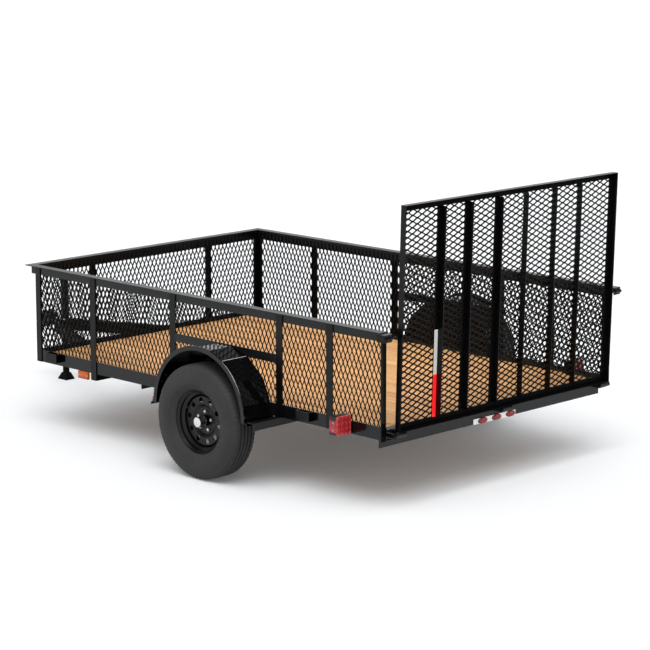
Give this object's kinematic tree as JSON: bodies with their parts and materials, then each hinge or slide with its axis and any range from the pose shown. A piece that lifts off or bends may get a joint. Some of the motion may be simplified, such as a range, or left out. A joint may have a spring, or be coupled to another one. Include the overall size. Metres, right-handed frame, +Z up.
{
  "type": "utility trailer",
  "caption": "Single-axle utility trailer: steel angle frame, plank deck, mesh walls, ramp gate that swings down, A-frame tongue with ball coupler and jack.",
  "frame": {"origin": "on the ground, under the middle of the whole trailer, gate and coupler included", "axes": "+X forward to the coupler, +Y to the left-hand wheel, +Z up"},
  "size_m": [4.3514, 2.4682, 1.748],
  "materials": {
    "black_steel": "gloss black paint on rolled steel angle",
    "gloss_black": "gloss black paint on rolled sheet",
    "black_mesh": "gloss black paint on expanded steel mesh",
    "planks": "sawn softwood planks, pressure treated",
    "tyre": "matt grey-black rubber",
    "wheel_paint": "satin black paint on pressed steel",
    "bright_steel": "zinc-plated steel",
    "jack_black": "black powder coat on tube",
    "spring_black": "black paint on spring steel",
    "red_lens": "moulded red acrylic",
    "amber_lens": "moulded amber acrylic",
    "tape": "retroreflective tape"
  },
  "bodies": {
    "trailer": {"side_rails": "black_steel", "front_sill": "black_steel", "rear_sill": "black_steel", "deck_crossmembers": "black_steel", "tongue_beam": "black_steel", "fender_beam": "black_steel", "deck_planks": "planks", "top_rails": "black_steel", "top_rail_front": "black_steel", "wall_posts": "black_steel", "wall_posts_front": "black_steel", "mid_rails": "black_steel", "wall_mesh_sides": "black_mesh", "wall_mesh_front": "black_mesh", "fender_left": "gloss_black", "fender_right": "gloss_black", "axle_beam": "black_steel", "leaf_springs": "spring_black", "spring_clamps": "spring_black", "spring_hangers": "black_steel", "tongue_legs": "black_steel", "coupler": "black_steel", "coupler_latch": "black_steel", "jack_housing": "jack_black", "jack_crank": "jack_black", "gate_hinges": "black_steel", "gate_latches": "black_steel", "stake_pockets": "black_steel", "tail_lamps": "red_lens", "tail_brackets": "black_steel", "marker_lamps": "amber_lens", "sill_lamps": "red_lens"},
    "wheel_left": {"tyre_left": "tyre", "rim_left": "wheel_paint", "hub_left": "bright_steel"},
    "wheel_right": {"tyre_right": "tyre", "rim_right": "wheel_paint", "hub_right": "bright_steel"},
    "gate": {"gate_frame": "black_steel", "gate_uprights": "black_steel", "gate_mesh": "black_mesh", "gate_barrels": "black_steel", "gate_tape": "tape"},
    "jack_leg": {"jack_leg": "jack_black"}
  },
  "joints": [
    {"name": "wheel_left_spin", "type": "hinge", "parent": "trailer", "child": "wheel_left", "pos_m": [-0.77427, 1.137, 0.3445], "axis": [0, 1, 0], "continuous": true},
    {"name": "wheel_right_spin", "type": "hinge", "parent": "trailer", "child": "wheel_right", "pos_m": [-0.77427, -1.137, 0.3445], "axis": [0, 1, 0], "continuous": true},
    {"name": "gate_swing", "type": "hinge", "parent": "trailer", "child": "gate", "pos_m": [-2.11927, 0, 0.447], "axis": [0, -1, 0], "range_deg": [0, 107]},
    {"name": "jack_slide", "type": "slide", "parent": "trailer", "child": "jack_leg", "axis": [0, 0, 1], "range_m": [-0.06, 0.23]}
  ]
}
